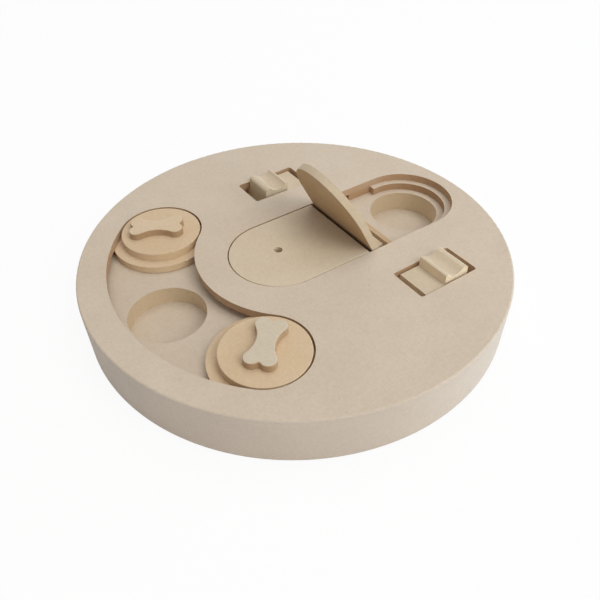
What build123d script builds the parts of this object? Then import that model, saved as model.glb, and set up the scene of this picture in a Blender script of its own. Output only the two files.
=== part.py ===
from build123d import *

import math
import os

# Round dog puzzle feeder: a block of three glued boards with treat wells, two bone-knob discs in a curved
# track, two flip lids over a long recess and two sliding grip blocks in pockets. Millimetres. The origin is
# the centre of the underside, +X runs along the long recess towards the open well, +Z is up.

# Board layers
BOARD_RADIUS = 145.0
BASE_THICKNESS = 26.5
MIDDLE_THICKNESS = 5.5
TOP_THICKNESS = 5.5
TOP_EDGE_RADIUS = 1.2
BOTTOM_EDGE_RADIUS = 3.0

# Curved track and its discs
TRACK_INSET = 48.0
TRACK_MIDDLE_ANGLE = 180.0
TRACK_HALF_ANGLE = 46.0
TRACK_WELL_RADIUS = 25.0
TRACK_WELL_DEPTH = 12.5
DISC_RADIUS = 27.5
DISC_SIDE_GAP = 1.3
DISC_EDGE_RADIUS = 0.6
FLANGE_LIP = 6.9
FLANGE_THICKNESS = 4.8
FLANGE_SIDE_GAP = 1.0
GLIDE_GAP = 0.3
TURN_GAP = 0.1

# Bone knobs
BONE_LENGTH = 37.0
BONE_WIDTH = 20.0
BONE_LOBE_OVERLAP = 0.8
BONE_WAIST = 12.0
BONE_NOTCH_RADIUS = 1.2
BONE_THICKNESS = 5.0
BONE_EDGE_RADIUS = 0.8
BONE_OFFSET = 2.5
FRONT_BONE_ANGLE = 44.0
BACK_BONE_ANGLE = 152.0

# Countersunk screws that hold each bone and disc to its flange
SCREW_RADIUS = 2.0
SCREW_HEAD_RADIUS = 3.8
SCREW_HEAD_HEIGHT = 2.2
SCREW_RECESS_LENGTH = 4.6
SCREW_RECESS_WIDTH = 0.9
SCREW_RECESS_DEPTH = 1.2
SCREW_TIP_COVER = 1.6
BORE_CLEARANCE = 0.08

# Long recess with a well at each end, from a web beside the track to a rim at the board's edge
RECESS_RADIUS = 35.0
RECESS_WEB = 14.1
RECESS_RIM = 10.5
LEDGE_WIDTH = 4.8
LEDGE_RUN = 4.5
LID_WELL_RADIUS = 25.0
LID_WELL_DEPTH = 15.5

# Lid plates, flush with the deck
LID_GAP = 0.7
LID_SEAT_GAP = 0.2
LID_EDGE_RADIUS = 0.5
SCENT_HOLE_RADIUS = 3.0
SCENT_HOLE_SETBACK = 0.8
SCENT_HOLE_OFFSET = 2.8
LID_BAY_LENGTH = 29.4

# Left lid: its pin lies in a groove under the plate, closed by a bar, and turns in blind grooves in the deck
LEFT_LID_END = 2.5
LEFT_BAR_LENGTH = 10.0
LEFT_BAR_THICKNESS = 5.0
LEFT_BAR_SIDE_GAP = 5.4
LEFT_BAR_SETBACK = 0.5
PIN_RADIUS = 1.5
PIN_REACH = 3.6
PIN_END_GAP = 0.5
PIN_CLEARANCE = 0.1

# Right lid: its knuckle turns on a pin in a slider that runs under the deck's edges
RIGHT_LID_STRAIGHT = 35.0
RIGHT_LID_START = 1.5
RIGHT_LID_OPEN_ANGLE = 117.2
RIGHT_LID_TRAVEL = 11.4
KNUCKLE_LENGTH = 4.3
KNUCKLE_SIDE_GAP = 0.5
SLIDER_THICKNESS = 5.0
SLIDER_LIP = 3.5
SLIDER_SIDE_GAP = 0.5
SLIDER_END_GAP = 0.3
SLIDER_ARM_WIDTH = 5.0
SLIDER_BAR_START = 5.6
SLIDER_BAR_WIDTH = 3.8

# Grip blocks and their pockets
POCKET_LENGTH = 47.8
POCKET_WIDTH = 27.3
POCKET_CORNER_RADIUS = 1.8
POCKET_LEAD = 1.4
POCKET_STAGGER = 14.2
POCKET_INSET = 70.3
BLOCK_LENGTH = 35.5
BLOCK_SIDE_GAP = 1.6
BLOCK_SHELF_DROP = 2.0
HUMP_LENGTH = 19.4
HUMP_HEIGHT = 5.4
HUMP_END_RADIUS = 2.5
HUMP_EDGE_RADIUS = 0.6
SCOOP_POSITION = 11.2
SCOOP_LENGTH = 13.0
SCOOP_DEPTH = 3.0
FOOT_LIP = 4.0
FOOT_SIDE_GAP = 0.5
FOOT_THICKNESS = 4.8
FRONT_BLOCK_SHIFT = -0.95
REAR_BLOCK_SHIFT = 3.25

# Levels that the layers set
FLOOR_Z = BASE_THICKNESS
LEDGE_Z = FLOOR_Z + MIDDLE_THICKNESS
DECK_Z = LEDGE_Z + TOP_THICKNESS

# Positions that the sizes above set
TRACK_RADIUS = BOARD_RADIUS - TRACK_INSET
SLOT_HALF_WIDTH = DISC_RADIUS + DISC_SIDE_GAP
FLANGE_RADIUS = DISC_RADIUS + FLANGE_LIP
CHANNEL_HALF_WIDTH = FLANGE_RADIUS + FLANGE_SIDE_GAP
FLANGE_Z = FLOOR_Z + GLIDE_GAP
DISC_Z = FLANGE_Z + FLANGE_THICKNESS + TURN_GAP
BONE_LOBE_RADIUS = (BONE_WIDTH + BONE_LOBE_OVERLAP) / 4
BORE_RADIUS = SCREW_RADIUS + BORE_CLEARANCE
LEFT_ARC_X = RECESS_WEB - (TRACK_RADIUS - CHANNEL_HALF_WIDTH) + RECESS_RADIUS
RIGHT_ARC_X = BOARD_RADIUS - RECESS_RIM - RECESS_RADIUS
RECESS_CENTRE = (LEFT_ARC_X + RIGHT_ARC_X) / 2
RECESS_HALF_STRAIGHT = (RIGHT_ARC_X - LEFT_ARC_X) / 2
INNER_RADIUS = RECESS_RADIUS - LEDGE_WIDTH
LID_RADIUS = RECESS_RADIUS - LID_GAP
LID_BOTTOM_Z = LEDGE_Z + LID_SEAT_GAP
LEFT_LID_STRAIGHT = 2 * RECESS_HALF_STRAIGHT - LID_BAY_LENGTH - RIGHT_LID_STRAIGHT
SCENT_HOLE_REACH = LEFT_LID_STRAIGHT - SCENT_HOLE_SETBACK
LEFT_PIN_X = LEFT_ARC_X + LEFT_LID_STRAIGHT
LEFT_PIN_Z = LID_BOTTOM_Z + PIN_RADIUS
LEFT_PIN_HALF_LENGTH = RECESS_RADIUS + PIN_REACH
RIGHT_PIN_X = RIGHT_ARC_X - RIGHT_LID_STRAIGHT - RIGHT_LID_TRAVEL
RIGHT_PIN_Z = FLOOR_Z + GLIDE_GAP + SLIDER_THICKNESS / 2
SLIDER_HALF_WIDTH = RECESS_RADIUS + SLIDER_LIP
SLIDER_ARM_INNER_Y = RECESS_RADIUS - SLIDER_ARM_WIDTH
SLIDER_LENGTH = SLIDER_BAR_START + SLIDER_BAR_WIDTH
SLIDER_NOSE_RADIUS = SLIDER_THICKNESS / 2
POCKET_CENTRE = RECESS_CENTRE + POCKET_LEAD
POCKET_OFFSET = BOARD_RADIUS - POCKET_INSET
BLOCK_WIDTH = POCKET_WIDTH - 2 * BLOCK_SIDE_GAP
FOOT_WIDTH = BLOCK_WIDTH + 2 * FOOT_LIP
FOOT_Z = FLOOR_Z + GLIDE_GAP
FOOT_TOP_Z = FOOT_Z + FOOT_THICKNESS


def slab(sketch, z, height):
    """Extrude a flat outline upwards from the level z."""
    return Pos(0, 0, z) * extrude(sketch, height)


def on_track(angle):
    """The point of the track's centre line at an angle from its middle."""
    a = math.radians(TRACK_MIDDLE_ANGLE + angle)
    return TRACK_RADIUS * math.cos(a), TRACK_RADIUS * math.sin(a)


def track_outline(half_width):
    """The crescent between the two home positions, with round ends."""
    centre_line = CenterArc(
        (0, 0), TRACK_RADIUS, TRACK_MIDDLE_ANGLE - TRACK_HALF_ANGLE, 2 * TRACK_HALF_ANGLE
    )
    return SlotArc(centre_line, 2 * half_width)


def recess_outline(radius):
    """The long recess at a given end radius."""
    return Pos(RECESS_CENTRE, 0) * SlotCenterToCenter(2 * RECESS_HALF_STRAIGHT, 2 * radius)


def span(start, end, width):
    """A rectangle from one x to another, centred across."""
    return Pos(start, 0) * Rectangle(end - start, width, align=(Align.MIN, Align.CENTER))


def bone_outline():
    """Two round lobes at each end, joined by hollow sides that run tangent into the lobes."""
    x = BONE_LENGTH / 2 - BONE_LOBE_RADIUS
    y = BONE_WIDTH / 2 - BONE_LOBE_RADIUS
    waist = BONE_WAIST / 2
    rise = waist - y
    hollow_radius = (x**2 + rise**2 - BONE_LOBE_RADIUS**2) / (2 * (BONE_LOBE_RADIUS - rise))
    share = BONE_LOBE_RADIUS / (BONE_LOBE_RADIUS + hollow_radius)
    touch_x = x * (1 - share)
    touch_y = y + (hollow_radius + rise) * share
    sides = [
        ThreePointArc((touch_x, touch_y), (0, waist), (-touch_x, touch_y)),
        Polyline((-touch_x, touch_y), (-x, y), (-x, -y), (-touch_x, -touch_y)),
        ThreePointArc((-touch_x, -touch_y), (0, -waist), (touch_x, -touch_y)),
        Polyline((touch_x, -touch_y), (x, -y), (x, y), (touch_x, touch_y)),
    ]
    lobes = Sketch() + [Pos(i * x, j * y) * Circle(BONE_LOBE_RADIUS) for i in (-1, 1) for j in (-1, 1)]
    outline = lobes + make_face(Curve() + sides)
    notches = outline.vertices().filter_by(lambda v: abs(v.Y) < BONE_NOTCH_RADIUS)
    return fillet(notches, BONE_NOTCH_RADIUS)


def pocket_place(side):
    """Centre of the front (-1) or rear (+1) pocket on the deck, turned so each low shelf faces inwards."""
    x = POCKET_CENTRE - side * POCKET_STAGGER
    return Pos(x, side * POCKET_OFFSET) * Rot(0, 0, 180 if side < 0 else 0)


def track_homes():
    """The places of the front and the back disc at rest."""
    return {
        "front": Pos(*on_track(TRACK_HALF_ANGLE)),
        "back": Pos(*on_track(-TRACK_HALF_ANGLE)),
    }


def base_board():
    """Thick lower board with five round treat wells."""
    disc = Pos(0, 0, FLOOR_Z / 2) * Cylinder(BOARD_RADIUS, BASE_THICKNESS)
    board = fillet(disc.edges().group_by(Axis.Z)[0], BOTTOM_EDGE_RADIUS)
    for angle in (-TRACK_HALF_ANGLE, 0, TRACK_HALF_ANGLE):
        well = Pos(*on_track(angle)) * Circle(TRACK_WELL_RADIUS)
        board -= slab(well, FLOOR_Z - TRACK_WELL_DEPTH, TRACK_WELL_DEPTH)
    for x in (LEFT_ARC_X, RIGHT_ARC_X):
        board -= slab(Pos(x, 0) * Circle(LID_WELL_RADIUS), FLOOR_Z - LID_WELL_DEPTH, LID_WELL_DEPTH)
    return board


def middle_board():
    """Thin board whose cut-outs guide the flanges, feet and lid slider and leave the lid ledges."""
    bay_length = 2 * (RECESS_HALF_STRAIGHT - LEDGE_RUN)
    foot_channel = Rectangle(POCKET_LENGTH, FOOT_WIDTH + 2 * FOOT_SIDE_GAP)
    runway_start = RIGHT_PIN_X - SLIDER_NOSE_RADIUS - SLIDER_END_GAP
    runway_end = RIGHT_PIN_X + RIGHT_LID_TRAVEL + SLIDER_LENGTH + SLIDER_END_GAP
    outline = Circle(BOARD_RADIUS)
    outline -= track_outline(CHANNEL_HALF_WIDTH)
    outline -= recess_outline(INNER_RADIUS)
    outline -= Pos(RECESS_CENTRE, 0) * Rectangle(bay_length, 2 * RECESS_RADIUS)
    outline -= span(runway_start, runway_end, 2 * (SLIDER_HALF_WIDTH + SLIDER_SIDE_GAP))
    for side in (-1, 1):
        outline -= pocket_place(side) * foot_channel
    return slab(outline, FLOOR_Z, MIDDLE_THICKNESS)


def pin_groove(side):
    """Blind groove in the top board's underside for one end of the left hinge pin."""
    depth = PIN_REACH + PIN_END_GAP
    height = LEFT_PIN_Z + PIN_RADIUS + PIN_CLEARANCE - LEDGE_Z
    outline = Rectangle(2 * (PIN_RADIUS + PIN_CLEARANCE), depth)
    return slab(Pos(LEFT_PIN_X, side * (RECESS_RADIUS + depth / 2)) * outline, LEDGE_Z, height)


def top_board():
    """Deck with the track slot, the recess, the pockets and the pin grooves."""
    disc = Pos(0, 0, LEDGE_Z + TOP_THICKNESS / 2) * Cylinder(BOARD_RADIUS, TOP_THICKNESS)
    board = fillet(disc.edges().group_by(Axis.Z)[-1], TOP_EDGE_RADIUS)
    pocket = RectangleRounded(POCKET_LENGTH, POCKET_WIDTH, POCKET_CORNER_RADIUS)
    cuts = [track_outline(SLOT_HALF_WIDTH), recess_outline(RECESS_RADIUS)]
    cuts += [pocket_place(side) * pocket for side in (-1, 1)]
    for cut in cuts:
        board -= slab(cut, LEDGE_Z, TOP_THICKNESS)
    for side in (-1, 1):
        board -= pin_groove(side)
    return board


def countersunk(radius, head_radius, top_z):
    """A screw's solid, head down, from the flange's underside to top_z."""
    head = Pos(0, 0, FLANGE_Z + SCREW_HEAD_HEIGHT / 2) * Cone(head_radius, radius, SCREW_HEAD_HEIGHT)
    return head + slab(Circle(radius), FLANGE_Z, top_z - FLANGE_Z)


def flange():
    """Round glide plate that keeps a disc in the track, free to turn on its screw."""
    plate = slab(Circle(FLANGE_RADIUS), FLANGE_Z, FLANGE_THICKNESS)
    return plate - countersunk(BORE_RADIUS, SCREW_HEAD_RADIUS + BORE_CLEARANCE, DISC_Z)


def knob_disc():
    """Round disc flush with the deck."""
    plate = slab(Circle(DISC_RADIUS), DISC_Z, DECK_Z - DISC_Z)
    plate = fillet(plate.edges().group_by(Axis.Z)[-1], DISC_EDGE_RADIUS)
    return plate - slab(Circle(SCREW_RADIUS), DISC_Z, DECK_Z - DISC_Z)


def bone(angle):
    """Bone-shaped push knob on a disc, set off the disc's centre towards one end."""
    body = slab(Pos(BONE_OFFSET, 0) * bone_outline(), DECK_Z, BONE_THICKNESS)
    body = fillet(body.edges().group_by(Axis.Z)[-1], BONE_EDGE_RADIUS)
    return Rot(0, 0, angle) * (body - slab(Circle(SCREW_RADIUS), DECK_Z, BONE_THICKNESS - SCREW_TIP_COVER))


def knob_screw():
    """Countersunk screw with a cross recess, up through the flange into disc and bone."""
    screw = countersunk(SCREW_RADIUS, SCREW_HEAD_RADIUS, DECK_Z + BONE_THICKNESS - SCREW_TIP_COVER)
    for turn in (0, 90):
        cut = Rot(0, 0, turn) * Rectangle(SCREW_RECESS_LENGTH, SCREW_RECESS_WIDTH)
        screw -= slab(cut, FLANGE_Z, SCREW_RECESS_DEPTH)
    return screw


def lid_plate(pin_z, start, straight):
    """Plate with a half round tip, pin axis at the origin, from its straight end at x = start."""
    tip = Pos(straight, 0) * (Circle(LID_RADIUS) & span(0, LID_RADIUS, 2 * LID_RADIUS))
    outline = tip + span(start, straight, 2 * LID_RADIUS)
    plate = slab(outline, LID_BOTTOM_Z - pin_z, DECK_Z - LID_BOTTOM_Z)
    return fillet(plate.edges().group_by(Axis.Z)[-1], LID_EDGE_RADIUS)


def pin(half_length):
    """Steel cross pin, axis along Y through the origin."""
    return Rot(90, 0, 0) * Cylinder(PIN_RADIUS, 2 * half_length)


def left_lid():
    """Closed lid over the left well: grooved plate, the bar that closes the groove, and the pin."""
    bottom = LID_BOTTOM_Z - LEFT_PIN_Z
    plate = lid_plate(LEFT_PIN_Z, -LEFT_LID_END, LEFT_LID_STRAIGHT)
    plate -= pin(RECESS_RADIUS)
    plate -= slab(Rectangle(2 * PIN_RADIUS, 2 * RECESS_RADIUS), bottom, -bottom)
    plate -= Pos(SCENT_HOLE_REACH, -SCENT_HOLE_OFFSET) * Cylinder(SCENT_HOLE_RADIUS, 2 * DECK_Z)
    bar_start = LEFT_BAR_SETBACK - LEFT_LID_END
    bar_outline = span(bar_start, bar_start + LEFT_BAR_LENGTH, 2 * (RECESS_RADIUS - LEFT_BAR_SIDE_GAP))
    bar = slab(bar_outline, bottom - LEFT_BAR_THICKNESS, LEFT_BAR_THICKNESS)
    return {"left_lid_plate": plate, "left_lid_bar": bar, "left_lid_pin": pin(LEFT_PIN_HALF_LENGTH)}


def nosed_bar(length, top, half_width):
    """Bar along Y with a round nose on the pin's axis, a flat end at x = length and a flat top."""
    body = Pos(0, -SLIDER_NOSE_RADIUS) * Rectangle(
        length, SLIDER_NOSE_RADIUS + top, align=(Align.MIN, Align.MIN)
    )
    profile = Circle(SLIDER_NOSE_RADIUS) + body
    return Pos(0, half_width, 0) * Rot(90, 0, 0) * extrude(profile, 2 * half_width)


def lid_slider():
    """U-shaped slider with the pin across its arms and its cross bar under the closed lid."""
    body = nosed_bar(SLIDER_LENGTH, SLIDER_NOSE_RADIUS, SLIDER_HALF_WIDTH)
    opening = span(-SLIDER_THICKNESS, SLIDER_BAR_START, 2 * SLIDER_ARM_INNER_Y)
    body -= slab(opening, -SLIDER_THICKNESS, 2 * SLIDER_THICKNESS)
    return body - pin(SLIDER_HALF_WIDTH + SLIDER_LIP)


def right_lid():
    """Lid over the right well: plate on a knuckle that turns on the slider's pin."""
    bore = Rot(90, 0, 0) * Cylinder(PIN_RADIUS + PIN_CLEARANCE, 2 * RECESS_RADIUS)
    knuckle_half_width = SLIDER_ARM_INNER_Y - KNUCKLE_SIDE_GAP
    knuckle = nosed_bar(KNUCKLE_LENGTH, LID_BOTTOM_Z - RIGHT_PIN_Z, knuckle_half_width) - bore
    return {
        "right_lid_plate": lid_plate(RIGHT_PIN_Z, RIGHT_LID_START, RIGHT_LID_STRAIGHT),
        "right_lid_knuckle": knuckle,
    }


def grip():
    """Grip block: a hump with a finger scoop at one end, a low shelf at the other, hump towards -X."""
    start = -BLOCK_LENGTH / 2
    hump_end = start + HUMP_LENGTH
    body = slab(Rectangle(BLOCK_LENGTH, BLOCK_WIDTH), FOOT_TOP_Z, DECK_Z - BLOCK_SHELF_DROP - FOOT_TOP_Z)
    hump = Pos(start, 0) * Rectangle(HUMP_LENGTH, BLOCK_WIDTH, align=(Align.MIN, Align.CENTER))
    body += slab(hump, FOOT_TOP_Z, DECK_Z + HUMP_HEIGHT - FOOT_TOP_Z)
    crests = body.edges().group_by(Axis.Z)[-1].filter_by(Axis.Y).sort_by(Axis.X)
    body = fillet(crests[0], HUMP_END_RADIUS)
    body = fillet(body.edges().group_by(Axis.Z)[-1].filter_by(Axis.Y).sort_by(Axis.X)[-1], HUMP_EDGE_RADIUS)
    half_chord = SCOOP_LENGTH / 2
    scoop_radius = (half_chord**2 + SCOOP_DEPTH**2) / (2 * SCOOP_DEPTH)
    axis_z = DECK_Z + HUMP_HEIGHT - SCOOP_DEPTH + scoop_radius
    scoop = Rot(90, 0, 0) * Cylinder(scoop_radius, 2 * BLOCK_WIDTH)
    return body - Pos(start + SCOOP_POSITION, 0, axis_z) * scoop


def foot():
    """Wide plate under a grip that keeps it below the deck's edges."""
    return slab(Rectangle(BLOCK_LENGTH, FOOT_WIDTH), FOOT_Z, FOOT_THICKNESS)


def build():
    """Every piece by name, in place at rest."""
    pieces = {"base_board": base_board(), "middle_board": middle_board(), "top_board": top_board()}
    bone_angles = {"front": FRONT_BONE_ANGLE, "back": BACK_BONE_ANGLE}
    for name, home in track_homes().items():
        pieces[f"{name}_flange"] = home * flange()
        pieces[f"{name}_disc"] = home * knob_disc()
        pieces[f"{name}_bone"] = home * bone(bone_angles[name])
        pieces[f"{name}_screw"] = home * knob_screw()
    for name, shape in left_lid().items():
        pieces[name] = Pos(LEFT_PIN_X, 0, LEFT_PIN_Z) * Rot(0, 0, 180) * shape
    right_pin_place = Pos(RIGHT_PIN_X, 0, RIGHT_PIN_Z)
    for name, shape in right_lid().items():
        pieces[name] = right_pin_place * Rot(0, -RIGHT_LID_OPEN_ANGLE, 0) * shape
    pieces["right_lid_pin"] = right_pin_place * pin(SLIDER_HALF_WIDTH)
    pieces["right_lid_slider"] = right_pin_place * lid_slider()
    blocks = {"front": (-1, FRONT_BLOCK_SHIFT), "rear": (1, REAR_BLOCK_SHIFT)}
    for name, (side, shift) in blocks.items():
        place = Pos(shift, 0) * pocket_place(side)
        pieces[f"{name}_block_grip"] = place * grip()
        pieces[f"{name}_block_foot"] = place * foot()
    return pieces


os.makedirs("parts", exist_ok=True)
for node, shape in build().items():
    export_step(shape, f"parts/{node}.step")
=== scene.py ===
"""Round dog puzzle feeder: the finishes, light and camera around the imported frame."""

import logging
import math
from dataclasses import dataclass
from enum import Enum
from typing import Any, Optional, Union

import bpy
from mathutils import Matrix, Vector

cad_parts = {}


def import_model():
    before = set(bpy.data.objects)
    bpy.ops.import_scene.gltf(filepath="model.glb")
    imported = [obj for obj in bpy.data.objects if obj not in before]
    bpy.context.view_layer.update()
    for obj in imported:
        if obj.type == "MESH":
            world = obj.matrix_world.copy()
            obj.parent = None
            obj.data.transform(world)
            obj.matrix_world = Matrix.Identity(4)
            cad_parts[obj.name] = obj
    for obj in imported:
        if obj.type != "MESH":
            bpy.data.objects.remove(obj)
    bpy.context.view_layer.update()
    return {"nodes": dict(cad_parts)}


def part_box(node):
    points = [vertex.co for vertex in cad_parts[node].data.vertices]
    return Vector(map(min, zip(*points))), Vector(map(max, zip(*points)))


LOG = logging.getLogger("puzzle_feeder")
MM = 0.001
MM_PER_M = 1000.0
SHARP_DEG = 30.0
NOISE_ROUGHNESS = 0.6
NOISE_MIDDLE = 0.5

# Numbers of the colour sockets on a Mix node, which share their names with its other sockets.
MIX_FACTOR, MIX_FIRST, MIX_SECOND, MIX_RESULT = 0, 6, 7, 2

Number = Union[float, "Value"]
Triple = tuple[float, float, float]
Colour = Triple
Paint = Union[Colour, bpy.types.NodeSocket]
Nodes = dict[str, bpy.types.Object]

UP: Triple = (0.0, 0.0, 1.0)
WHITE: Colour = (1.0, 1.0, 1.0)


def linear(byte: int) -> float:
    """Turn one channel of an eight-bit screen colour into linear light.

    Args:
        byte: The channel from 0 to 255.

    Returns:
        The linear channel from 0 to 1.
    """
    share = byte / 255
    return share / 12.92 if share <= 0.04045 else ((share + 0.055) / 1.055) ** 2.4


def srgb(red: int, green: int, blue: int) -> Colour:
    """The linear colour that a shader takes for an eight-bit screen colour."""
    return linear(red), linear(green), linear(blue)


def rgba(colour: Colour) -> tuple[float, float, float, float]:
    """A colour with the alpha of 1 that a colour socket asks for."""
    return (*colour, 1.0)


class Value:
    """A number in a shader tree, with Python arithmetic that adds Math nodes."""

    def __init__(self, tree: "ShaderTree", socket: bpy.types.NodeSocket) -> None:
        """Wrap an output socket of the tree."""
        self.tree = tree
        self.socket = socket

    def _math(self, operation: str, *terms: Number) -> "Value":
        """Add one Math node.

        Args:
            operation: Blender's name for the operation.
            terms: The operands in order.

        Returns:
            The node's result.
        """
        node = self.tree.node("ShaderNodeMath", {"operation": operation}, dict(enumerate(terms)))
        return Value(self.tree, node.outputs[0])

    def __add__(self, other: Number) -> "Value":
        """self + other."""
        return self._math("ADD", self, other)

    def __radd__(self, other: Number) -> "Value":
        """other + self."""
        return self._math("ADD", other, self)

    def __sub__(self, other: Number) -> "Value":
        """self - other."""
        return self._math("SUBTRACT", self, other)

    def __rsub__(self, other: Number) -> "Value":
        """other - self."""
        return self._math("SUBTRACT", other, self)

    def __mul__(self, other: Number) -> "Value":
        """self * other."""
        return self._math("MULTIPLY", self, other)

    def __rmul__(self, other: Number) -> "Value":
        """other * self."""
        return self._math("MULTIPLY", other, self)

    def __abs__(self) -> "Value":
        """abs(self)."""
        return self._math("ABSOLUTE", self)

    def most(self, other: Number) -> "Value":
        """The larger of the two."""
        return self._math("MAXIMUM", self, other)

    def step(self, low: float, high: float) -> "Value":
        """Rise smoothly from 0 at low to 1 at high, also where high is the smaller one.

        Args:
            low: Where the result is 0.
            high: Where the result is 1.

        Returns:
            The smooth step.
        """
        node = self.tree.node(
            "ShaderNodeMapRange",
            {"interpolation_type": "SMOOTHSTEP"},
            {"Value": self, "From Min": low, "From Max": high, "To Min": 0.0, "To Max": 1.0},
        )
        return Value(self.tree, node.outputs["Result"])


class ShaderTree:
    """The nodes of a material or of the world, under construction."""

    def __init__(self, owner: Union[bpy.types.Material, bpy.types.World]) -> None:
        """Start an empty node tree on its owner.

        Args:
            owner: The material or world that the nodes belong to.
        """
        owner.use_nodes = True
        self.nodes = owner.node_tree.nodes
        self.links = owner.node_tree.links
        self.nodes.clear()

    def node(
        self,
        kind: str,
        settings: Optional[dict[str, Any]] = None,
        sockets: Optional[dict[Union[str, int], Any]] = None,
    ) -> bpy.types.Node:
        """Add any node.

        Args:
            kind: The node's type.
            settings: Attributes to set first, such as a Math node's operation.
            sockets: Input values, or outputs to link, by socket name or number.

        Returns:
            The new node.
        """
        node = self.nodes.new(kind)
        for name, setting in (settings or {}).items():
            setattr(node, name, setting)
        for key, value in (sockets or {}).items():
            if isinstance(value, Value):
                value = value.socket
            if isinstance(value, bpy.types.NodeSocket):
                self.links.new(value, node.inputs[key])
            else:
                node.inputs[key].default_value = value
        return node

    def mix(self, share: Number, first: Paint, second: Paint) -> bpy.types.NodeSocket:
        """Mix two colours.

        Args:
            share: How much of the second colour, from 0 to 1.
            first: A linear colour, or a colour socket.
            second: A linear colour, or a colour socket.

        Returns:
            The mixed colour.
        """
        first, second = (rgba(paint) if isinstance(paint, tuple) else paint for paint in (first, second))
        settings = {"data_type": "RGBA", "clamp_factor": True}
        sockets = {MIX_FACTOR: share, MIX_FIRST: first, MIX_SECOND: second}
        return self.node("ShaderNodeMix", settings, sockets).outputs[MIX_RESULT]

    def scaled(self, vector: bpy.types.NodeSocket, factors: Triple) -> bpy.types.NodeSocket:
        """Multiply a vector by three factors."""
        node = self.node("ShaderNodeVectorMath", {"operation": "MULTIPLY"}, {0: vector, 1: factors})
        return node.outputs["Vector"]

    def place_mm(self) -> bpy.types.NodeSocket:
        """The shaded point in its piece's own frame, in millimetres."""
        return self.scaled(self.node("ShaderNodeTexCoord").outputs["Object"], (MM_PER_M,) * 3)

    def noise(self, place: bpy.types.NodeSocket, grain_mm: float, detail: float, seed: float) -> Value:
        """Add a noise texture.

        Args:
            place: Coordinates in millimetres.
            grain_mm: Size of one blob.
            detail: How many finer layers lie on it.
            seed: Fourth coordinate, which picks another part of the noise.

        Returns:
            The noise, about 0 to 1 around 0.5.
        """
        sockets = {
            "Vector": place,
            "W": seed,
            "Scale": 1 / grain_mm,
            "Detail": detail,
            "Roughness": NOISE_ROUGHNESS,
        }
        node = self.node("ShaderNodeTexNoise", {"noise_dimensions": "4D"}, sockets)
        return Value(self, node.outputs[0])

    def seen(self) -> Value:
        """1 for rays from the camera, straight or by way of a reflection, and 0 for all others."""
        rays = self.node("ShaderNodeLightPath").outputs
        return Value(self, rays["Is Camera Ray"]).most(Value(self, rays["Is Glossy Ray"]))


@dataclass(frozen=True)
class Sheet:
    """The two tones of a piece of fibreboard: its pressed faces and its cut edges."""

    face: Colour
    edge: Colour


@dataclass(frozen=True)
class Rim:
    """The outer rim of a round board, in a tone apart from the walls inside it, which carry painted shade
    in the middle and top boards.

    Going outwards, the tone starts and is full at these depths below the board's radius.
    """

    tone: Colour
    radius_mm: float
    starts_mm: float = 4.0
    full_mm: float = 2.0

    def over(self, tree: ShaderTree, place: bpy.types.NodeSocket, edge: Colour) -> bpy.types.NodeSocket:
        """Lay the rim's tone over the tone of the cut edges.

        Args:
            tree: The material's nodes.
            place: Coordinates in millimetres from the board's middle.
            edge: The tone of the walls inside the rim.

        Returns:
            The tone of the rim and the walls together.
        """
        flat = tree.scaled(place, (1.0, 1.0, 0.0))
        reach = tree.node("ShaderNodeVectorMath", {"operation": "LENGTH"}, {0: flat})
        distance = Value(tree, reach.outputs["Value"])
        share = distance.step(self.radius_mm - self.starts_mm, self.radius_mm - self.full_mm)
        return tree.mix(share, edge, self.tone)


@dataclass(frozen=True)
class Stains:
    """One layer of soft spots that lies over the tone of a board."""

    tint: Colour
    grain_mm: float
    detail: float
    low: float
    high: float
    share: float
    seed: float

    def over(
        self, tree: ShaderTree, place: bpy.types.NodeSocket, seed: float, paint: Paint
    ) -> bpy.types.NodeSocket:
        """Lay the spots over a colour.

        Args:
            tree: The material's nodes.
            place: Coordinates in millimetres.
            seed: The board's own seed.
            paint: The colour below the spots.

        Returns:
            The spotted colour.
        """
        spots = tree.noise(place, self.grain_mm, self.detail, seed + self.seed)
        return tree.mix(self.share * spots.step(self.low, self.high), paint, self.tint)


DUST = srgb(232, 222, 206)
RESIN = srgb(126, 98, 68)


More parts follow.
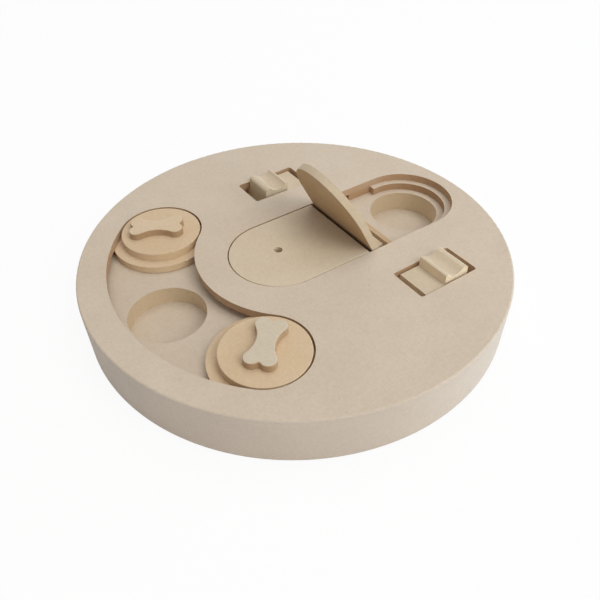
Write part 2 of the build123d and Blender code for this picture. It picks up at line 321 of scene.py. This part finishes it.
@dataclass(frozen=True)
class Fibreboard:
    """Sanded medium density fibreboard: pressed faces, and cut edges that are rougher."""

    name: str
    sheet: Sheet
    seed: float
    face_axis: Triple = UP
    rim: Optional[Rim] = None
    face_cosine: float = 0.92
    edge_cosine: float = 0.55
    mottle: Stains = Stains(DUST, grain_mm=28.0, detail=2.0, low=0.35, high=0.75, share=0.12, seed=1.0)
    clouds: Stains = Stains(RESIN, grain_mm=7.0, detail=3.0, low=0.45, high=0.85, share=0.06, seed=2.0)
    flecks: Stains = Stains(RESIN, grain_mm=1.6, detail=1.0, low=0.70, high=0.78, share=0.20, seed=5.0)
    fibre_mm: float = 0.9
    fibre_detail: float = 3.0
    fibre_stretch: float = 3.5
    fibre_share: float = 0.09
    dark_fibres: tuple[float, float] = (0.42, 0.66)
    pale_fibres: tuple[float, float] = (0.52, 0.32)
    crossed_seed: float = 3.0
    fuzz_mm: float = 2.2
    fuzz_detail: float = 2.0
    fuzz_seed: float = 9.0
    edge_fibre_loss: float = 0.4
    face_bump_mm: float = 0.05
    edge_bump_mm: float = 0.11
    roughness: float = 0.74
    fibre_roughness: float = 0.12
    edge_roughness: float = 0.08
    specular: float = 0.28

    def build(self) -> bpy.types.Material:
        """Make the node material.

        Returns:
            The material.
        """
        material = bpy.data.materials.new(self.name)
        tree = ShaderTree(material)
        place = tree.place_mm()
        cut = self._cut_share(tree)
        fibres = self._fibres(tree, place)
        sockets = {
            "Base Color": self._colour(tree, place, cut, fibres),
            "Roughness": self._roughness(cut, fibres),
            "Normal": self._normal(tree, place, cut, fibres),
            "Specular IOR Level": self.specular,
        }
        shader = tree.node("ShaderNodeBsdfPrincipled", None, sockets)
        tree.node("ShaderNodeOutputMaterial", None, {"Surface": shader.outputs["BSDF"]})
        return material

    def _cut_share(self, tree: ShaderTree) -> Value:
        """Tell cut edges from pressed faces by how far the surface turns off the face's axis.

        Args:
            tree: The material's nodes.

        Returns:
            1 on cut edges and 0 on pressed faces.
        """
        normal = tree.node("ShaderNodeTexCoord").outputs["Normal"]
        sockets = {0: normal, 1: self.face_axis}
        dot = tree.node("ShaderNodeVectorMath", {"operation": "DOT_PRODUCT"}, sockets)
        return abs(Value(tree, dot.outputs["Value"])).step(self.face_cosine, self.edge_cosine)

    def _fibres(self, tree: ShaderTree, place: bpy.types.NodeSocket) -> Value:
        """Lay short pressed fibres in two crossing directions.

        Args:
            tree: The material's nodes.
            place: Coordinates in millimetres.

        Returns:
            The fibres, about 0 to 1 around 0.5.
        """
        along = tree.scaled(place, (1 / self.fibre_stretch, 1.0, 1.0))
        across = tree.scaled(place, (1.0, 1 / self.fibre_stretch, 1.0))
        first = tree.noise(along, self.fibre_mm, self.fibre_detail, self.seed)
        second = tree.noise(across, self.fibre_mm, self.fibre_detail, self.seed + self.crossed_seed)
        return (first + second) * 0.5

    def _roughness(self, cut: Value, fibres: Value) -> Value:
        """Make the fibres and the cut edges a little rougher than the rest."""
        spread = self.fibre_roughness * (fibres - NOISE_MIDDLE)
        return self.roughness + spread + self.edge_roughness * cut

    def _colour(
        self, tree: ShaderTree, place: bpy.types.NodeSocket, cut: Value, fibres: Value
    ) -> bpy.types.NodeSocket:
        """Colour the faces and edges, with stains, dark and pale fibres, and small flecks.

        Args:
            tree: The material's nodes.
            place: Coordinates in millimetres.
            cut: 1 on cut edges and 0 on pressed faces.
            fibres: The pressed fibres.

        Returns:
            The colour.
        """
        edge = self.sheet.edge if self.rim is None else self.rim.over(tree, place, self.sheet.edge)
        colour = tree.mix(cut, self.sheet.face, edge)
        for stains in (self.mottle, self.clouds):
            colour = stains.over(tree, place, self.seed, colour)
        for band, tint in ((self.dark_fibres, RESIN), (self.pale_fibres, DUST)):
            colour = tree.mix(self.fibre_share * fibres.step(*band), colour, tint)
        return self.flecks.over(tree, place, self.seed, colour)

    def _normal(
        self, tree: ShaderTree, place: bpy.types.NodeSocket, cut: Value, fibres: Value
    ) -> bpy.types.NodeSocket:
        """Raise the fibres, and a coarser fuzz on the cut edges.

        Args:
            tree: The material's nodes.
            place: Coordinates in millimetres.
            cut: 1 on cut edges and 0 on pressed faces.
            fibres: The pressed fibres.

        Returns:
            The bumped normal.
        """
        fuzz = tree.noise(place, self.fuzz_mm, self.fuzz_detail, self.seed + self.fuzz_seed)
        relief = fibres * (1 - self.edge_fibre_loss * cut) + fuzz * cut
        bump_mm = self.face_bump_mm + (self.edge_bump_mm - self.face_bump_mm) * cut
        sockets = {"Strength": 1.0, "Distance": MM, "Height": relief * bump_mm}
        bump = tree.node("ShaderNodeBump", None, sockets)
        return bump.outputs["Normal"]


@dataclass(frozen=True)
class DrawnSteel:
    """Bright drawn steel of the pins and screws, with fine darker marks."""

    name: str
    tone: Colour
    mark_tone: Colour = srgb(118, 116, 112)
    mark_mm: float = 0.25
    mark_detail: float = 3.0
    mark_band: tuple[float, float] = (0.4, 0.7)
    mark_share: float = 0.3
    seed: float = 41.0
    roughness: float = 0.28
    mark_roughness: float = 0.16

    def build(self) -> bpy.types.Material:
        """Make the node material.

        Returns:
            The material.
        """
        material = bpy.data.materials.new(self.name)
        tree = ShaderTree(material)
        marks = tree.noise(tree.place_mm(), self.mark_mm, self.mark_detail, self.seed)
        dark = self.mark_share * marks.step(*self.mark_band)
        sockets = {
            "Base Color": tree.mix(dark, self.tone, self.mark_tone),
            "Metallic": 1.0,
            "Roughness": self.roughness + self.mark_roughness * marks,
        }
        shader = tree.node("ShaderNodeBsdfPrincipled", None, sockets)
        tree.node("ShaderNodeOutputMaterial", None, {"Surface": shader.outputs["BSDF"]})
        return material


BOARD_FACE = srgb(204, 189, 169)
CREAM_FACE = srgb(207, 191, 165)
# The bones' walls are darker than the discs' cut edges: painted shade for the thin shadow round the foot
# of each bone.
BONE_EDGE_PAINTED_SHADE = srgb(174, 146, 112)


class Stock(Enum):
    """The fibreboard that each kind of piece is cut from; some of the tones carry painted light and shade.
    """

    BASE_BOARD = Sheet(face=BOARD_FACE, edge=srgb(215, 197, 168))
    # The middle and top boards' walls are browner than the base board's: painted shade for the narrow gaps
    # and pockets that they line.
    MIDDLE_BOARD_PAINTED_SHADE = Sheet(face=BOARD_FACE, edge=srgb(176, 142, 108))
    TOP_BOARD_PAINTED_SHADE = Sheet(face=BOARD_FACE, edge=srgb(183, 152, 119))
    DISC = Sheet(face=srgb(210, 185, 151), edge=srgb(222, 198, 163))
    # The front and back bones are one material; their two face tones are painted light and shade for how
    # light falls on each.
    FRONT_BONE = Sheet(face=srgb(205, 192, 169), edge=BONE_EDGE_PAINTED_SHADE)
    BACK_BONE = Sheet(face=srgb(213, 190, 159), edge=BONE_EDGE_PAINTED_SHADE)
    LEFT_LID = Sheet(face=CREAM_FACE, edge=srgb(224, 206, 176))
    # The right lid's face is browner than the left lid's: painted shade, warmed as by light bounced off
    # the left lid, for the lid standing open with its face turned away from the light.
    RIGHT_LID_PAINTED_SHADE = Sheet(face=srgb(185, 155, 116), edge=srgb(204, 187, 159))
    # The front block's walls are far paler than the rear block's, which is the same stock: painted light
    # on the front block's walls.
    FRONT_BLOCK_PAINTED_LIGHT = Sheet(face=CREAM_FACE, edge=srgb(242, 224, 192))
    REAR_BLOCK = Sheet(face=CREAM_FACE, edge=srgb(212, 195, 164))


def grain_seed(seed: float, part: str) -> float:
    """The seed of one part, which the length of its name moves on from its sub-assembly's seed."""
    return seed + len(part)


class Side(Enum):
    """Where a paired piece sits, which is the first word of its name."""

    FRONT = "front"
    BACK = "back"
    REAR = "rear"
    LEFT = "left"
    RIGHT = "right"


def dress(piece: bpy.types.Object, material: bpy.types.Material) -> None:
    """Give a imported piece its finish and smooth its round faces.

    Args:
        piece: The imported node's object.
        material: Its finish.
    """
    piece.data.materials.clear()
    piece.data.materials.append(material)
    piece.data.shade_smooth()
    piece.data.set_sharp_from_angle(angle=math.radians(SHARP_DEG))
    LOG.info("dressed %s with %s", piece.name, material.name)


@dataclass
class BoardStack:
    """The three glued boards: sanded faces and rim, pale walls in the base board's wells, and browner
    walls above them that are painted shade for the narrow gaps and pockets.
    """

    layers: tuple[tuple[str, Stock], ...] = (
        ("base_board", Stock.BASE_BOARD),
        ("middle_board", Stock.MIDDLE_BOARD_PAINTED_SHADE),
        ("top_board", Stock.TOP_BOARD_PAINTED_SHADE),
    )
    rim_tone: Colour = srgb(206, 195, 181)
    seed: float = 11.0

    def dress(self, nodes: Nodes) -> None:
        """Give each layer its own sheet of fibreboard.

        Args:
            nodes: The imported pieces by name.
        """
        for number, (layer, stock) in enumerate(self.layers, start=1):
            rim = Rim(self.rim_tone, radius_mm=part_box(layer)[1][0] * MM_PER_M)
            finish = Fibreboard(f"{layer}_fibreboard", stock.value, self.seed * number, rim=rim)
            dress(nodes[layer], finish.build())


@dataclass
class BoneKnob:
    """A disc on its glide flange, with the bone and the screw."""

    side: Side
    disc: Stock
    bone: Stock
    seed: float

    def dress(self, nodes: Nodes, steel: bpy.types.Material) -> None:
        """Give the four pieces their finishes.

        Args:
            nodes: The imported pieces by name.
            steel: The screw's finish.
        """
        name = self.side.value
        for part, stock in (("flange", self.disc), ("disc", self.disc), ("bone", self.bone)):
            finish = Fibreboard(f"{name}_{part}_fibreboard", stock.value, grain_seed(self.seed, part))
            dress(nodes[f"{name}_{part}"], finish.build())
        dress(nodes[f"{name}_screw"], steel)


@dataclass
class FlipLid:
    """A lid plate with the pieces that carry it on its cross pin.

    The turning pieces lean as far as the plate, and the level ones lie flat, so their pressed faces
    point different ways.
    """

    side: Side
    stock: Stock
    seed: float
    open_deg: float = 0.0
    turning: tuple[str, ...] = ("plate",)
    level: tuple[str, ...] = ()

    def dress(self, nodes: Nodes, steel: bpy.types.Material) -> None:
        """Give the plate, its carriers and the pin their finishes.

        Args:
            nodes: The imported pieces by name.
            steel: The pin's finish.
        """
        name = self.side.value
        turn = math.radians(self.open_deg)
        tilted = (-math.sin(turn), 0.0, math.cos(turn))
        axes = {part: tilted for part in self.turning} | {part: UP for part in self.level}
        for part, axis in axes.items():
            node = f"{name}_lid_{part}"
            finish = Fibreboard(f"{node}_fibreboard", self.stock.value, grain_seed(self.seed, part), axis)
            dress(nodes[node], finish.build())
        dress(nodes[f"{name}_lid_pin"], steel)


@dataclass
class GripBlock:
    """A grip block on its foot."""

    side: Side
    stock: Stock
    seed: float

    def dress(self, nodes: Nodes) -> None:
        """Give grip and foot their finishes.

        Args:
            nodes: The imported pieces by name.
        """
        for part in ("grip", "foot"):
            node = f"{self.side.value}_block_{part}"
            finish = Fibreboard(f"{node}_fibreboard", self.stock.value, grain_seed(self.seed, part))
            dress(nodes[node], finish.build())


@dataclass(frozen=True)
class Lamp:
    """A large round soft lamp that points at the toy."""

    name: str
    turn_deg: float
    rise_deg: float
    size: float
    watts: float
    tone: Colour
    reach: float = 2.5

    def build(self) -> None:
        """Hang the lamp at its angles and distance from the toy's centre."""
        turn, rise = math.radians(self.turn_deg), math.radians(self.rise_deg)
        place = self.reach * Vector(
            (math.cos(turn) * math.cos(rise), math.sin(turn) * math.cos(rise), math.sin(rise))
        )
        light = bpy.data.lights.new(self.name, "AREA")
        light.shape = "DISK"
        light.size = self.size
        light.energy = self.watts
        light.color = self.tone
        lamp = bpy.data.objects.new(self.name, light)
        lamp.location = place
        lamp.rotation_euler = (-place).to_track_quat("-Z", "Y").to_euler()
        lamp.visible_camera = False
        bpy.context.scene.collection.objects.link(lamp)
        LOG.info("hung the %s lamp", self.name)


@dataclass
class Studio:
    """Floor, world and lamps."""

    floor_size: float = 6.0
    floor_tone: Colour = (0.86, 0.86, 0.86)
    floor_shadow: float = 0.08
    world_tone: Colour = (1.02, 0.98, 0.98)
    world_strength: float = 0.36
    lamps: tuple[Lamp, ...] = (
        Lamp("overhead", turn_deg=40.0, rise_deg=78.0, size=2.4, watts=21.4, tone=(1.04, 1.04, 1.03)),
        Lamp("front_high", turn_deg=-70.0, rise_deg=45.0, size=1.5, watts=21.0, tone=(1.01, 1.01, 0.98)),
        Lamp("window_front", turn_deg=-85.0, rise_deg=12.0, size=1.5, watts=8.5, tone=(1.14, 0.96, 0.74)),
        Lamp("window_side", turn_deg=-20.0, rise_deg=6.0, size=1.0, watts=26.5, tone=(0.69, 0.97, 1.32)),
        Lamp("window_back", turn_deg=45.0, rise_deg=4.0, size=1.0, watts=15.0, tone=(0.90, 1.0, 1.13)),
    )

    def build(self) -> None:
        """Set up floor, world and lamps."""
        self.build_floor()
        self.build_world()
        for lamp in self.lamps:
            lamp.build()

    def build_floor(self) -> None:
        """Lay a pale floor that looks white and keeps part of the toy's shadow."""
        half = self.floor_size / 2
        corners = [(-half, -half, 0.0), (half, -half, 0.0), (half, half, 0.0), (-half, half, 0.0)]
        mesh = bpy.data.meshes.new("floor")
        mesh.from_pydata(corners, [], [(0, 1, 2, 3)])
        floor = bpy.data.objects.new("floor", mesh)
        bpy.context.scene.collection.objects.link(floor)
        material = bpy.data.materials.new("studio_floor")
        tree = ShaderTree(material)
        share = tree.seen() * (1 - self.floor_shadow)
        paper = tree.node("ShaderNodeBsdfDiffuse", None, {"Color": rgba(self.floor_tone)})
        glow = tree.node("ShaderNodeEmission", None, {"Color": rgba(WHITE), "Strength": 1.0})
        blend = tree.node("ShaderNodeMixShader", None, {0: share, 1: paper.outputs[0], 2: glow.outputs[0]})
        tree.node("ShaderNodeOutputMaterial", None, {"Surface": blend.outputs[0]})
        mesh.materials.append(material)

    def build_world(self) -> None:
        """Light the room evenly, and show it white to the camera."""
        world = bpy.data.worlds.new("studio")
        bpy.context.scene.world = world
        tree = ShaderTree(world)
        tone, strength = rgba(self.world_tone), self.world_strength
        room = tree.node("ShaderNodeBackground", None, {"Color": tone, "Strength": strength})
        white = tree.node("ShaderNodeBackground", None, {"Color": rgba(WHITE), "Strength": 1.0})
        sockets = {0: tree.seen(), 1: room.outputs[0], 2: white.outputs[0]}
        blend = tree.node("ShaderNodeMixShader", None, sockets)
        tree.node("ShaderNodeOutputWorld", None, {"Surface": blend.outputs[0]})


@dataclass(frozen=True)
class Viewpoint:
    """The camera in front of the toy, which looks down across the deck."""

    place: Triple = (-0.1779, -0.2720, 0.2889)
    heading_deg: float = 33.7
    dip_deg: float = 42.91
    roll_deg: float = -1.0
    focal_px: float = 598.9
    frame_px: float = 600.0
    sensor_mm: float = 36.0

    def build(self) -> None:
        """Stand the camera at its place, with its heading to the right of +Y and its dip below level."""
        heading, dip, roll = map(math.radians, (self.heading_deg, self.dip_deg, self.roll_deg))
        forward = Vector(
            (math.sin(heading) * math.cos(dip), math.cos(heading) * math.cos(dip), -math.sin(dip))
        )
        level = Vector((math.cos(heading), -math.sin(heading), 0.0))
        rise = level.cross(forward)
        right = level * math.cos(roll) + rise * math.sin(roll)
        up = rise * math.cos(roll) - level * math.sin(roll)
        lens = bpy.data.cameras.new("camera")
        lens.sensor_width = self.sensor_mm
        lens.lens = self.focal_px / self.frame_px * self.sensor_mm
        camera = bpy.data.objects.new("camera", lens)
        turn = Matrix((right, up, -forward)).transposed()
        camera.matrix_world = Matrix.Translation(self.place) @ turn.to_4x4()
        bpy.context.scene.collection.objects.link(camera)
        bpy.context.scene.camera = camera
        LOG.info("stood the camera")


def main() -> None:
    """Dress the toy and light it."""
    logging.basicConfig(level=logging.INFO, format="%(name)s: %(message)s")
    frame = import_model()
    nodes = frame["nodes"]
    steel = DrawnSteel("pin_steel", srgb(188, 187, 184)).build()
    BoardStack().dress(nodes)
    BoneKnob(Side.FRONT, Stock.DISC, Stock.FRONT_BONE, seed=51.0).dress(nodes, steel)
    BoneKnob(Side.BACK, Stock.DISC, Stock.BACK_BONE, seed=67.0).dress(nodes, steel)
    FlipLid(Side.LEFT, Stock.LEFT_LID, seed=83.0, level=("bar",)).dress(nodes, steel)
    raised_lid = FlipLid(
        Side.RIGHT,
        Stock.RIGHT_LID_PAINTED_SHADE,
        seed=97.0,
        open_deg=117.2,
        turning=("plate", "knuckle"),
        level=("slider",),
    )
    raised_lid.dress(nodes, steel)
    GripBlock(Side.FRONT, Stock.FRONT_BLOCK_PAINTED_LIGHT, seed=113.0).dress(nodes)
    GripBlock(Side.REAR, Stock.REAR_BLOCK, seed=131.0).dress(nodes)
    Studio().build()
    Viewpoint().build()
    bpy.context.scene.view_settings.view_transform = "Standard"


if __name__ == "__main__":
    main()
